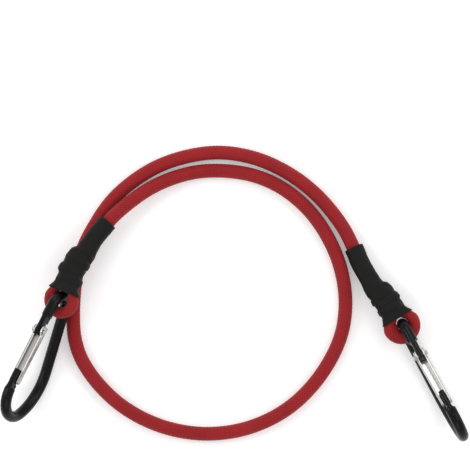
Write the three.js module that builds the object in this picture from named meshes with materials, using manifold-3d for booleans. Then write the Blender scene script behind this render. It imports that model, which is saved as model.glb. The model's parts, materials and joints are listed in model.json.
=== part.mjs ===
// Elastic bungee cord with a snap hook at each end, lying in a loose loop and a third.
// Lengths are millimetres, angles are degrees, +Z is up, and the cord lies on Z = 0.
import * as THREE from 'three';
import { mergeVertices } from 'three/addons/utils/BufferGeometryUtils.js';
import Module from 'manifold-3d';

const wasm = await Module();
wasm.setup();

// Shared by all pieces
const clearance = 0.3;
const overrun = 1;

// Cord: a braided cover round a bundle of rubber strands
const cordDiameter = 8;
const coverWall = 0.7;
const cordSides = 12;
const freeStep = 17;
const lengthDivisions = 4000;
const gapSamples = 600;
const neighbourDiameters = 4;

// Cord route, from the middle of the left eye, through the left sleeve, clockwise round
// the loop and over itself, through the right sleeve, to the middle of the right eye
const route = [
  [-98.0, 17.1, 16.9], [-96.4, 22.0, 17.7], [-93.9, 28.2, 17.0], [-91.2, 35.3, 15.7],
  [-86.5, 42.5, 14.4], [-74.6, 57.6, 12.0], [-66.0, 66.9, 10.9], [-45.3, 81.8, 6.4],
  [-20.7, 89.9, 4.2], [5.7, 89.1, 3.9], [24.7, 82.3, 3.9], [40.9, 70.0, 3.9],
  [53.0, 53.8, 3.9], [60.9, 35.1, 3.9], [63.8, 15.0, 3.9], [60.7, -5.1, 3.9],
  [48.6, -27.5, 3.9], [30.6, -45.4, 3.9], [7.7, -56.4, 3.9], [-17.6, -59.6, 3.9],
  [-42.5, -54.9, 3.9], [-65.0, -42.9, 3.9], [-82.5, -24.5, 3.9], [-90.1, -8.2, 3.9],
  [-91.5, 15.0, 3.9], [-87.5, 41.7, 3.9], [-79.5, 59.1, 3.9], [-66.2, 77.0, 3.9],
  [-42.7, 93.3, 3.9], [-14.2, 100.7, 3.9], [8.3, 98.7, 3.9], [29.2, 90.2, 3.9],
  [47.4, 76.6, 3.9], [61.9, 58.9, 4.2], [68.5, 46.1, 5.4], [73.0, 35.8, 6.4],
  [78.8, 26.8, 7.8], [85.6, 18.4, 9.2], [90.9, 10.2, 10.3], [95.6, 2.4, 10.7],
].map((point) => new THREE.Vector3(...point));

// Eye: the cord folded back round the snap hook's rod
const eyeBendRadius = 7.7;
const eyeHalfWidth = 3.2;
const eyeHalfHeight = 3.3;
const eyeFlareLength = 10.5;
const leftEyeRollAngle = 26;
const rightEyeRollAngle = 0;
const eyeRollLength = 24.5;
const bendSteps = 9;

// Legs: the two runs of cord side by side in the sleeve
const legHalfWidth = 2.9;
const legHalfHeight = 3.95;
const legOffset = legHalfWidth + clearance / 2;
const leftTailLength = 27.5;
const rightTailLength = 22.8;
const mergeGap = 1;
const mergeLength = 12.5;

// Shrunk sleeve over the legs
const sleeveStart = 4.8;
const sleeveEnd = 52.5;
const sleeveWall = 0.6;
const sleeveSideRoom = 0.7;
const sleeveTopRoom = 0.85;
const sleeveSides = 16;
const tailBulgeLength = 8;
const leastRowStep = 0.05;

// Crimp rings round the two legs, under the sleeve
const crimpFromFlare = 1.1;
const crimpFromTail = 3.1;
const crimpWidth = 2;
const crimpThickness = 0.5;
const crimpSideRoom = 0.66;
const crimpTopRoom = 0.76;
const crimpMouthAngle = 50;
const crimpSteps = 20;
const crimpOverRoom = 0.42;
const crimpRampLength = 0.8;

// Snap hook frame: a pear of bent round rod
const rodDiameter = 6.3;
const rodSides = 12;
const hookLength = 78.6;
const hookWidth = 41;
const eyeEndRadius = 7.5;
const basketRadius = 13;
const spineBendRadius = 30;
const eyeEndSteps = 11;
const spineBendSteps = 6;
const basketSteps = 10;

// Tongues at the hinge, measured from the rivet, and at the nose, from the basket's bend
const hingeAlongHook = 20.55;
const hingeShoulder = -9.7;
const hingeTongueEnd = 2.8;
const noseTongueReach = 11.2;
const noseShoulderReach = 1.3;
const tongueThickness = 3;
const hingeFillet = 1.6;
const noseFillet = 3.2;
const filletSteps = 4;

// Gate: a folded channel, open to the outside
const gateWidth = 6.4;
const gateWall = 1.2;
const gateTop = -3.45;
const gateTipReach = 3.4;
const gateLip = 0.2;
const gateBack = -3.4;
const gateEarHeight = 2.4;
const gateEarReach = 2.6;
const gateTipRound = 1.4;
const gateCurveSteps = 3;

// Hinge rivet
const rivetHeight = 0.4;
const rivetShank = 1.7;
const rivetHeadDiameter = 2.9;
const rivetHeadHeight = 1;

// Gate spring: a leaf folded between the hinge tongue and the gate's back
const pocketStart = -5.4;
const pocketEnd = -1.5;
const pocketRoof = 0;
const leafThickness = 0.35;
const leafWidth = 3;

// How the two hooks lie
const leftHookHeading = [-0.285, -0.9585];
const leftHookLeanAngle = 29;
const leftHookDipAngle = 8.95;
const leftHookShift = 0.65;
const leftHookBack = 1.5;
const rightHookHeading = [0.466, -0.885];
const rightHookLeanAngle = 3;
const rightHookDipAngle = 0;
const rightHookShift = 0.75;
const rightHookBack = 0.5;

// Finishes
const coverRed = new THREE.MeshStandardMaterial({ color: 0xa52428, roughness: 0.7 });
const rubberCream = new THREE.MeshStandardMaterial({ color: 0xcdbf9c, roughness: 0.8 });
const sleeveBlack = new THREE.MeshStandardMaterial({ color: 0x262423, roughness: 0.75 });
const crimpSteel = new THREE.MeshStandardMaterial({ color: 0x9a9c9e, roughness: 0.4, metalness: 1 });
const hookBlack = new THREE.MeshStandardMaterial({ color: 0x101112, roughness: 0.3, metalness: 0.6 });
const gateSilver = new THREE.MeshStandardMaterial({ color: 0xb9b9b6, roughness: 0.35, metalness: 1 });
const rivetSteel = new THREE.MeshStandardMaterial({ color: 0x8d8d8b, roughness: 0.3, metalness: 1 });
const springSteel = new THREE.MeshStandardMaterial({ color: 0x7d7f82, roughness: 0.35, metalness: 1 });

const up = new THREE.Vector3(0, 0, 1);
const fullTurn = 2 * Math.PI;
const quarterTurn = Math.PI / 2;
const rad = THREE.MathUtils.degToRad;

// Geometry helpers

// One closed body through rows of points. Each row runs round the body, and the rows follow
// each other along it; a wrapped body joins its last row to its first, others get end caps.
function bodyThroughRows(rows, wrapped) {
  const sides = rows[0].length;
  const points = rows.flat();
  const faces = [];
  const joints = wrapped ? rows.length : rows.length - 1;
  for (let row = 0; row < joints; row += 1) {
    const here = row * sides;
    const there = ((row + 1) % rows.length) * sides;
    for (let side = 0; side < sides; side += 1) {
      const next = (side + 1) % sides;
      faces.push(here + side, there + next, here + next);
      faces.push(here + side, there + side, there + next);
    }
  }
  if (!wrapped) {
    addCap(points, faces, rows[0], 0, false);
    addCap(points, faces, rows[rows.length - 1], (rows.length - 1) * sides, true);
  }
  const geometry = new THREE.BufferGeometry();
  geometry.setFromPoints(points);
  geometry.setIndex(faces);
  geometry.computeVertexNormals();
  return geometry;
}

// Closes one end of a body with a fan of triangles round the middle of its row.
function addCap(points, faces, row, first, atEnd) {
  const middle = new THREE.Vector3();
  row.forEach((point) => middle.addScaledVector(point, 1 / row.length));
  const hub = points.push(middle) - 1;
  for (let side = 0; side < row.length; side += 1) {
    const next = (side + 1) % row.length;
    if (atEnd) faces.push(hub, first + next, first + side);
    else faces.push(hub, first + side, first + next);
  }
}

function solidOf(geometry) {
  const bare = geometry.clone();
  bare.deleteAttribute('normal');
  bare.deleteAttribute('uv');
  const merged = mergeVertices(bare);
  const vertProperties = new Float32Array(merged.attributes.position.array);
  const triVerts = new Uint32Array(merged.index.array);
  return new wasm.Manifold(new wasm.Mesh({ numProp: 3, vertProperties, triVerts }));
}

function geometryOf(solid) {
  const mesh = solid.getMesh();
  const geometry = new THREE.BufferGeometry();
  geometry.setAttribute('position', new THREE.BufferAttribute(mesh.vertProperties, 3));
  geometry.setIndex(new THREE.BufferAttribute(mesh.triVerts, 1));
  geometry.computeVertexNormals();
  return geometry;
}

function cut(geometry, cutters) {
  return geometryOf(cutters.reduce((body, cutter) => body.subtract(solidOf(cutter)), solidOf(geometry)));
}

// A box between two opposite corners.
function boxBetween(low, high) {
  const size = high.map((value, axis) => value - low[axis]);
  const middle = high.map((value, axis) => (value + low[axis]) / 2);
  return new THREE.BoxGeometry(...size).translate(...middle);
}

// Eases from 1 at the start to 0 at the end, level at both.
function fade(place, start, end) {
  const share = THREE.MathUtils.clamp((place - start) / (end - start), 0, 1);
  return (1 + Math.cos(Math.PI * share)) / 2;
}

// The cord

const middleLine = new THREE.CatmullRomCurve3(route);
middleLine.arcLengthDivisions = lengthDivisions;
const middleLength = middleLine.getLength();

const leftEnd = { isLeft: true, rollAngle: leftEyeRollAngle, tailLength: leftTailLength };
const rightEnd = { isLeft: false, rollAngle: rightEyeRollAngle, tailLength: rightTailLength };
const mergeStart = (end) => end.tailLength + mergeGap;
const mergeEnd = (end) => mergeStart(end) + mergeLength;

// The middle line near one end, at a distance from that end's eye.
function lineAt(end, distance) {
  const along = end.isLeft ? distance : middleLength - distance;
  const share = THREE.MathUtils.clamp(along / middleLength, 0, 1);
  const tangent = middleLine.getTangentAt(share);
  const side = new THREE.Vector3().crossVectors(tangent, up).normalize();
  side.applyAxisAngle(tangent, -rad(end.rollAngle) * fade(distance, 0, eyeRollLength));
  const top = new THREE.Vector3().crossVectors(side, tangent);
  return { point: middleLine.getPointAt(share), tangent, side, top };
}

const isFlared = (distance) => fade(distance, 0, eyeFlareLength);
const isDoubled = (end, distance) => fade(distance, mergeStart(end), mergeEnd(end));

// Half the width and half the height of the cord, squeezed where it is doubled.
function cordHalfSizes(end, distance) {
  const flare = isFlared(distance);
  const doubled = isDoubled(end, distance);
  const radius = cordDiameter / 2;
  const half = radius + (legHalfWidth - radius) * doubled + (eyeHalfWidth - legHalfWidth) * flare;
  const tall = radius + (legHalfHeight - radius) * doubled + (eyeHalfHeight - legHalfHeight) * flare;
  return { half, tall };
}

const legShift = (end, distance) =>
  legOffset * isDoubled(end, distance) + (eyeBendRadius - legOffset) * isFlared(distance);

// A station of the cord: a point on its middle, the ways across and up, and its half sizes.
function legStation(end, distance, sign) {
  const { point, side, top } = lineAt(end, distance);
  const outward = side.clone().multiplyScalar(sign);
  const middle = point.clone().addScaledVector(outward, legShift(end, distance));
  return { middle, outward, top, ...cordHalfSizes(end, distance) };
}

function bendStation(end, angle) {
  const { point, tangent, side, top } = lineAt(end, 0);
  const away = end.isLeft ? -1 : 1;
  const outward = side.clone().multiplyScalar(Math.cos(angle));
  outward.addScaledVector(tangent, away * Math.sin(angle));
  const middle = point.clone().addScaledVector(outward, eyeBendRadius);
  return { middle, outward, top, ...cordHalfSizes(end, 0) };
}

// Places at shares of the way from a start to an end.
const placesBetween = (start, end, shares) => shares.map((share) => start + share * (end - start));

const flareShares = [0, 0.25, 0.5, 0.75, 1];
const legShares = [0.33, 0.67];
const mergeShares = [0, 0.2, 0.4, 0.6, 0.8, 1];
const flarePlaces = placesBetween(0, eyeFlareLength, flareShares);

// One end of the cord, from the cut end of its tail, round the eye, to the sleeve's mouth.
function endStations(end) {
  const doubled = [...flarePlaces, ...placesBetween(eyeFlareLength, end.tailLength, legShares)];
  const tail = [...doubled, end.tailLength].reverse();
  const stations = tail.map((distance) => legStation(end, distance, -1));
  for (let step = 1; step < bendSteps; step += 1) {
    stations.push(bendStation(end, Math.PI * (1 - step / bendSteps)));
  }
  const merge = placesBetween(mergeStart(end), mergeEnd(end), mergeShares);
  const main = [...doubled, ...merge, (mergeEnd(end) + sleeveEnd) / 2, sleeveEnd];
  main.forEach((distance) => stations.push(legStation(end, distance, 1)));
  return stations;
}

function freeStations() {
  const length = middleLength - 2 * sleeveEnd;
  const steps = Math.ceil(length / freeStep);
  const stations = [];
  for (let step = 1; step < steps; step += 1) {
    stations.push(legStation(leftEnd, sleeveEnd + (length * step) / steps, 1));
  }
  return stations;
}

const cordStations = [...endStations(leftEnd), ...freeStations(), ...endStations(rightEnd).reverse()];

// A row of points round a station, on an ellipse that lies inside the cord's surface.
function ellipseRow(station, inset, sides) {
  return Array.from({ length: sides }, (_, index) => {
    const angle = (fullTurn * (index + 1 / 2)) / sides;
    return station.middle.clone()
      .addScaledVector(station.outward, (station.half - inset) * Math.cos(angle))
      .addScaledVector(station.top, (station.tall - inset) * Math.sin(angle));
  });
}

function coverGeometry() {
  const outside = cordStations.map((station) => ellipseRow(station, 0, cordSides));
  const inside = cordStations.map((station) => ellipseRow(station, coverWall, cordSides));
  return bodyThroughRows([...outside, ...inside.reverse()], true);
}

// The bundle of rubber strands, as one body that follows the cover's bore.
function coreGeometry() {
  const inset = coverWall + clearance;
  return bodyThroughRows(cordStations.map((station) => ellipseRow(station, inset, cordSides)), false);
}

// How near the free cord comes to itself, measured on points of its middle line.
function leastGapToSelf() {
  const points = middleLine.getSpacedPoints(gapSamples);
  const apart = Math.ceil((neighbourDiameters * cordDiameter * gapSamples) / middleLength);
  let least = Infinity;
  for (let first = 0; first < points.length; first += 1) {
    for (let second = first + apart; second < points.length; second += 1) {
      least = Math.min(least, points[first].distanceTo(points[second]));
    }
  }
  return least - cordDiameter;
}

// The sleeves and the crimp rings

// Where the sleeve's bore begins and ends across the middle line, and its half height.
function boreAcross(end, distance) {
  const { half, tall } = cordHalfSizes(end, distance);
  const shift = legShift(end, distance);
  const tailSide = -(shift + half + sleeveSideRoom);
  const singleSide = shift - half - sleeveSideRoom;
  const bulge = fade(distance, end.tailLength + clearance, end.tailLength + tailBulgeLength);
  const bridge = -(cordDiameter / 2 + sleeveSideRoom);
  const low = Math.min(singleSide + (tailSide - singleSide) * bulge, bridge);
  const topRoom = sleeveSideRoom + (sleeveTopRoom - sleeveSideRoom) * isDoubled(end, distance);
  return { low, high: shift + half + sleeveSideRoom, tall: tall + topRoom };
}

const crimpRise = crimpThickness + crimpOverRoom;
const crimpPlateau = crimpWidth / 2 + clearance;
const crimpShares = [0, 0.5, 1];
const crimpPlaces = (end) =>
  placesBetween(eyeFlareLength + crimpFromFlare, end.tailLength - crimpFromTail, crimpShares);

// How far the sleeve stands off over the crimp rings: 1 on a ring and 0 between them.
function crimpShare(end, distance) {
  const shares = crimpPlaces(end).map((place) => {
    const beyond = Math.abs(distance - place) - crimpPlateau;
    return THREE.MathUtils.clamp(1 - beyond / crimpRampLength, 0, 1);
  });
  return Math.max(...shares);
}

// Where the sleeve's rows of points lie along the cord, in order.
const mouthShares = [0, 0.3, 0.6, 0.85];
const bulgeShares = [0, 0.25, 0.5, 0.75, 1];
const sleeveMergeShares = [0.75, 1];
function sleevePlaces(end) {
  const ramps = [crimpPlateau, crimpPlateau + crimpRampLength];
  const rings = crimpPlaces(end).flatMap((place) =>
    ramps.flatMap((ramp) => [place - ramp, place + ramp]));
  const bulge = placesBetween(
    end.tailLength + clearance, end.tailLength + tailBulgeLength, bulgeShares);
  const merge = placesBetween(mergeStart(end), mergeEnd(end), sleeveMergeShares);
  const mouth = placesBetween(sleeveStart, eyeFlareLength, mouthShares);
  const places = [...mouth, ...rings, ...bulge, ...merge, (mergeEnd(end) + sleeveEnd) / 2, sleeveEnd];
  places.sort((first, second) => first - second);
  return places.filter((place, index) => index === 0 || place - places[index - 1] > leastRowStep);
}

// A row of points on a stadium: two half rounds and the flats between them.
function stadiumRow(frame, low, high, tall, sides) {
  const middle = (low + high) / 2;
  const wide = (high - low) / 2;
  const round = Math.min(wide, tall);
  return Array.from({ length: sides }, (_, index) => {
    const angle = (fullTurn * (index + 1 / 2)) / sides;
    const flat = Math.sign(Math.cos(angle)) * (wide - round);
    return frame.point.clone()
      .addScaledVector(frame.side, middle + flat + round * Math.cos(angle))
      .addScaledVector(frame.top, tall * Math.sin(angle));
  });
}

function sleeveGeometry(end) {
  const rowsAt = (wall) => sleevePlaces(end).map((distance) => {
    const { low, high, tall } = boreAcross(end, distance);
    const grow = wall + crimpShare(end, distance) * crimpRise;
    return stadiumRow(lineAt(end, distance), low - grow, high + grow, tall + grow, sleeveSides);
  });
  const outside = rowsAt(sleeveWall);
  const inside = rowsAt(0);
  if (!end.isLeft) {
    outside.reverse();
    inside.reverse();
  }
  return bodyThroughRows([...outside, ...inside.reverse()], true);
}

// A flat ring, open below, bent round both legs at one place.
function crimpGeometry(end, place) {
  const edges = [lineAt(end, place - crimpWidth / 2), lineAt(end, place + crimpWidth / 2)];
  const { half, tall } = cordHalfSizes(end, place);
  const wide = legShift(end, place) + half + crimpSideRoom;
  const high = tall + crimpTopRoom;
  const start = -quarterTurn + rad(crimpMouthAngle) / 2;
  const span = fullTurn - rad(crimpMouthAngle);
  const rows = Array.from({ length: crimpSteps + 1 }, (_, index) => {
    const angle = start + (span * index) / crimpSteps;
    const lift = (grow) => {
      const round = high + grow;
      const flat = Math.sign(Math.cos(angle)) * (wide - high);
      return [flat + round * Math.cos(angle), round * Math.sin(angle)];
    };
    const corner = ([sideways, upwards], edge) => edge.point.clone()
      .addScaledVector(edge.side, sideways)
      .addScaledVector(edge.top, upwards);
    const inner = lift(0);
    const outer = lift(crimpThickness);
    const section = [corner(inner, edges[0]), corner(inner, edges[1])];
    section.push(corner(outer, edges[1]), corner(outer, edges[0]));
    return end.isLeft ? section : section.reverse();
  });
  return bodyThroughRows(rows, false);
}

// The snap hooks, in a frame of their own: X runs from the eye end to the basket, Y from the
// spine to the gate, and the origin is the middle of the rod inside the cord's eye

const rodRadius = rodDiameter / 2;
const basketAlong = hookLength - rodDiameter - basketRadius;
const basketAcross = hookWidth - rodDiameter - eyeEndRadius - basketRadius;
const bendDrop = basketAcross + eyeEndRadius - spineBendRadius;
const bendReach = Math.sqrt((spineBendRadius - basketRadius) ** 2 - bendDrop ** 2);
const spineBendAlong = basketAlong - bendReach;
const spineBendTurn = Math.atan2(bendDrop, bendReach);
const circlesAlong = basketAlong - eyeEndRadius;
const circlesApart = Math.hypot(circlesAlong, basketAcross);
const circlesDiffer = basketRadius - eyeEndRadius;
const gateTurn = Math.atan2(basketAcross, circlesAlong) + Math.asin(circlesDiffer / circlesApart);

// Places on an arc of the rod's middle line, from one angle to another.
function arcPlaces(centre, radius, from, to, steps) {
  return Array.from({ length: steps + 1 }, (_, index) => {
    const angle = from + ((to - from) * index) / steps;
    const outward = new THREE.Vector3(Math.cos(angle), Math.sin(angle), 0);
    return { middle: centre.clone().addScaledVector(outward, radius), outward };
  });
}

const spineSide = -quarterTurn;
const gateSide = quarterTurn + gateTurn;
const eyeEndCentre = new THREE.Vector3(eyeEndRadius, 0, 0);
const spineBendCentre = new THREE.Vector3(spineBendAlong, spineBendRadius - eyeEndRadius, 0);
const basketCentre = new THREE.Vector3(basketAlong, basketAcross, 0);
const eyeEndPlaces = arcPlaces(
  eyeEndCentre, eyeEndRadius, gateSide, spineSide + fullTurn, eyeEndSteps);
const spineBendPlaces = arcPlaces(
  spineBendCentre, spineBendRadius, spineSide, spineBendTurn, spineBendSteps);
const basketPlaces = arcPlaces(basketCentre, basketRadius, spineBendTurn, gateSide, basketSteps);
const rodPlaces = [...eyeEndPlaces, ...spineBendPlaces, ...basketPlaces.slice(1)];

// The arm's frame: X runs along the gate from the rivet to the nose, and Y points outwards.
const armStart = eyeEndPlaces[0].middle;
const armDirection = new THREE.Vector3(Math.cos(gateTurn), Math.sin(gateTurn), 0);
const rivetAlongArm = (hingeAlongHook - armStart.x) / Math.cos(gateTurn);
const rivetPlace = armStart.clone().addScaledVector(armDirection, rivetAlongArm);
const armMatrix = new THREE.Matrix4().makeRotationZ(gateTurn).setPosition(rivetPlace);

// The arm runs straight from the rivet to the basket's bend.
const armReach = Math.sqrt(circlesApart ** 2 - circlesDiffer ** 2) - rivetAlongArm;
const noseTongueEnd = armReach - noseTongueReach;
const noseShoulder = armReach + noseShoulderReach;
const gateTip = armReach - gateTipReach;

// The rod's faces lie square to its plane, so that flats face in, out and sideways.
function rodRing() {
  const circumradius = rodRadius / Math.cos(Math.PI / rodSides);
  const rows = rodPlaces.map(({ middle, outward }) =>
    Array.from({ length: rodSides }, (_, index) => {
      const angle = (fullTurn * (index + 1 / 2)) / rodSides;
      return middle.clone()
        .addScaledVector(outward, circumradius * Math.cos(angle))
        .addScaledVector(up, circumradius * Math.sin(angle));
    }));
  return bodyThroughRows(rows, true);
}

// A cutter beside a tongue, with a curved end that leaves a fillet at the shoulder.
function cheekCutter(shoulder, end, fillet, sign) {
  const face = tongueThickness / 2;
  const past = rodDiameter;
  const towards = Math.sign(end - shoulder);
  const shape = new THREE.Shape();
  shape.moveTo(shoulder, past);
  shape.lineTo(shoulder, rodRadius);
  shape.quadraticCurveTo(shoulder + (towards * fillet) / 2, face, shoulder + towards * fillet, face);
  shape.lineTo(end + towards * overrun, face);
  shape.lineTo(end + towards * overrun, past);
  const height = 2 * past;
  const cutter = new THREE.ExtrudeGeometry(
    shape, { depth: height, bevelEnabled: false, curveSegments: filletSteps });
  cutter.rotateX(quarterTurn).translate(0, height / 2, 0);
  if (sign < 0) cutter.rotateX(Math.PI);
  return cutter.applyMatrix4(armMatrix);
}

const gateFloor = gateBack + gateWall;
const tongueBack = gateFloor + 2 * clearance;

function frameGeometry() {
  const past = rodDiameter;
  const armBox = (low, high) => boxBetween(low, high).applyMatrix4(armMatrix);
  const rivetHole = new THREE.CylinderGeometry(
    rivetShank / 2 + clearance, rivetShank / 2 + clearance, 2 * past, cordSides);
  rivetHole.rotateX(quarterTurn).translate(0, rivetHeight, 0).applyMatrix4(armMatrix);
  return cut(rodRing(), [
    armBox([hingeTongueEnd, -past, -past], [noseTongueEnd, past, past]),
    armBox([gateTop - 2 * clearance, -past, -past], [hingeTongueEnd + overrun, tongueBack, past]),
    armBox([noseTongueEnd - overrun, -past, -past], [gateTip + 2 * clearance, tongueBack, past]),
    armBox([pocketStart, -past, -past], [pocketEnd, pocketRoof, past]),
    ...[1, -1].flatMap((sign) => [
      cheekCutter(hingeShoulder, hingeTongueEnd, hingeFillet, sign),
      cheekCutter(noseShoulder, noseTongueEnd, noseFillet, sign),
    ]),
    rivetHole,
  ]);
}

// The gate's side outline, with an ear round the rivet and rounded tips at the nose.
function gateGeometry() {
  const outline = new THREE.Shape();
  outline.moveTo(gateTop, gateBack);
  outline.lineTo(gateTip - gateTipRound, gateBack);
  outline.quadraticCurveTo(gateTip, gateBack, gateTip, gateBack + gateTipRound);
  outline.lineTo(gateTip, gateLip - gateTipRound);
  outline.quadraticCurveTo(gateTip, gateLip, gateTip - gateTipRound, gateLip);
  outline.lineTo(gateEarReach + gateTipRound, gateLip);
  outline.quadraticCurveTo(gateEarReach, gateLip, gateEarReach - gateTipRound / 2, gateEarHeight / 2);
  outline.quadraticCurveTo(gateEarReach / 2, gateEarHeight, 0, gateEarHeight);
  outline.quadraticCurveTo(gateTop, gateEarHeight, gateTop, gateLip);
  const body = new THREE.ExtrudeGeometry(
    outline, { depth: gateWidth, bevelEnabled: false, curveSegments: gateCurveSteps });
  body.translate(0, 0, -gateWidth / 2);
  const inner = gateWidth / 2 - gateWall;
  const channel = boxBetween(
    [gateTop - overrun, gateFloor, -inner], [gateTip + overrun, gateEarHeight + overrun, inner]);
  const hole = new THREE.CylinderGeometry(
    rivetShank / 2 + clearance, rivetShank / 2 + clearance, gateWidth + overrun, cordSides);
  hole.rotateX(quarterTurn).translate(0, rivetHeight, 0);
  return cut(body, [channel, hole]);
}

// A rivet with a domed head on each side of the gate.
function rivetGeometry() {
  const underHead = gateWidth / 2 + clearance;
  const shank = rivetShank / 2;
  const head = rivetHeadDiameter / 2;
  const domeShares = [[1, 0], [0.92, 0.45], [0.62, 0.84]];
  const dome = domeShares.map(([out, high]) => [head * out, underHead + rivetHeadHeight * high]);
  const upper = [[shank, underHead], ...dome, [0, underHead + rivetHeadHeight]];
  const lower = upper.map(([out, high]) => [out, -high]).reverse();
  const profile = [...lower, ...upper].map(([out, high]) => new THREE.Vector2(out, high));
  return new THREE.LatheGeometry(profile, cordSides).rotateX(quarterTurn).translate(0, rivetHeight, 0);
}

// A leaf folded into a narrow V that opens towards the rivet.
function leafGeometry() {
  const fold = pocketStart + clearance;
  const tip = pocketEnd - clearance;
  const top = pocketRoof - clearance;
  const bottom = gateFloor + clearance;
  const foldTop = top - leafThickness;
  const outline = new THREE.Shape();
  outline.moveTo(fold, top);
  outline.lineTo(fold, foldTop - 2 * leafThickness);
  outline.lineTo(tip, bottom);
  outline.lineTo(tip, bottom + leafThickness);
  outline.lineTo(fold + leafThickness, foldTop - leafThickness);
  outline.lineTo(fold + leafThickness, foldTop);
  outline.lineTo(tip, foldTop);
  outline.lineTo(tip, top);
  const leaf = new THREE.ExtrudeGeometry(outline, { depth: leafWidth, bevelEnabled: false });
  return leaf.translate(0, 0, -leafWidth / 2);
}

// Assembly

function piece(name, geometry, material) {
  const mesh = new THREE.Mesh(geometry, material);
  mesh.name = name;
  return mesh;
}

// A hook's group: the frame, and the gate, rivet and spring in the gate arm's own group.
function hookGroup(name, hook) {
  const lean = rad(hook.leanAngle);
  const dip = rad(hook.dipAngle);
  const level = new THREE.Vector3(...hook.heading, 0).normalize();
  const sideways = new THREE.Vector3().crossVectors(level, up).multiplyScalar(hook.leanSide);
  const along = level.clone().multiplyScalar(Math.cos(dip)).addScaledVector(up, -Math.sin(dip));
  const rise = new THREE.Vector3().crossVectors(sideways, along).multiplyScalar(hook.leanSide);
  const outward = rise.multiplyScalar(Math.cos(lean)).addScaledVector(sideways, Math.sin(lean));
  const normal = new THREE.Vector3().crossVectors(along, outward);
  const group = new THREE.Group();
  group.setRotationFromMatrix(new THREE.Matrix4().makeBasis(along, outward, normal));
  group.position.copy(hook.eye).addScaledVector(sideways, hook.shift);
  group.position.addScaledVector(along, -hook.back);
  const arm = new THREE.Group();
  arm.position.copy(rivetPlace);
  arm.rotation.z = gateTurn;
  arm.add(
    piece(`${name}_gate`, gateGeometry(), gateSilver),
    piece(`${name}_hinge_rivet`, rivetGeometry(), rivetSteel),
    piece(`${name}_gate_spring`, leafGeometry(), springSteel),
  );
  group.add(piece(`${name}_carabiner_frame`, frameGeometry(), hookBlack), arm);
  return group;
}

const leftHook = {
  eye: route[0],
  heading: leftHookHeading,
  leanAngle: leftHookLeanAngle,
  leanSide: 1,
  dipAngle: leftHookDipAngle,
  shift: leftHookShift,
  back: leftHookBack,
};
const rightHook = {
  eye: route[route.length - 1],
  heading: rightHookHeading,
  leanAngle: rightHookLeanAngle,
  leanSide: -1,
  dipAngle: rightHookDipAngle,
  shift: rightHookShift,
  back: rightHookBack,
};

const bungeeCord = new THREE.Group();
bungeeCord.add(piece('cord_cover', coverGeometry(), coverRed));
bungeeCord.add(piece('rubber_core', coreGeometry(), rubberCream));
for (const [name, end] of [['left', leftEnd], ['right', rightEnd]]) {
  bungeeCord.add(piece(`${name}_sleeve`, sleeveGeometry(end), sleeveBlack));
  crimpPlaces(end).forEach((place, index) => {
    bungeeCord.add(piece(`${name}_crimp_ring_${index + 1}`, crimpGeometry(end, place), crimpSteel));
  });
}
bungeeCord.add(hookGroup('left', leftHook), hookGroup('right', rightHook));

console.log(`Length of the cord's middle line between the eyes: ${middleLength.toFixed(1)} mm`);
console.log(`Least gap of the free cord to itself: ${leastGapToSelf().toFixed(2)} mm`);

export default bungeeCord;
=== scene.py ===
import json
import math

import bpy
import numpy as np
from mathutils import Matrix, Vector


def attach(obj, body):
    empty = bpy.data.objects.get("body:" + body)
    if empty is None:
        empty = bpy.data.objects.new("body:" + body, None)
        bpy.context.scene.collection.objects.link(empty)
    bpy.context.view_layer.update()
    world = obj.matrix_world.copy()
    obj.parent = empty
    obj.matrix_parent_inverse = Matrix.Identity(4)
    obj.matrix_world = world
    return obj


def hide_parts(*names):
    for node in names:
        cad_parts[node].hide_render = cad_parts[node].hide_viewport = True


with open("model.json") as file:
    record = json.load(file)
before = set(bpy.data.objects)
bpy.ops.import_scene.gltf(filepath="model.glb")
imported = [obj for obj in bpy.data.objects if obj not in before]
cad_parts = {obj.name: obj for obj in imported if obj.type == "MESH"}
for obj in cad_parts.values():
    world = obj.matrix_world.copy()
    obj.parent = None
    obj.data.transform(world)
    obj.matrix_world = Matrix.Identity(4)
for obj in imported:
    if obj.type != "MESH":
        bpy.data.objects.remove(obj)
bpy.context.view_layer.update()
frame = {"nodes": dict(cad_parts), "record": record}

bl_info = {
    "name": "Bungee cord with two snap hooks",
    "version": (1, 0, 0),
    "blender": (4, 5, 0),
    "location": "3D View > Sidebar > Bungee cord",
    "description": "Builds the braided cord, its shrunk sleeves and its snap hooks round the packed frame",
    "category": "Object",
}

# Lengths are metres, +Z is up, and the cord lies on Z = 0.

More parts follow.
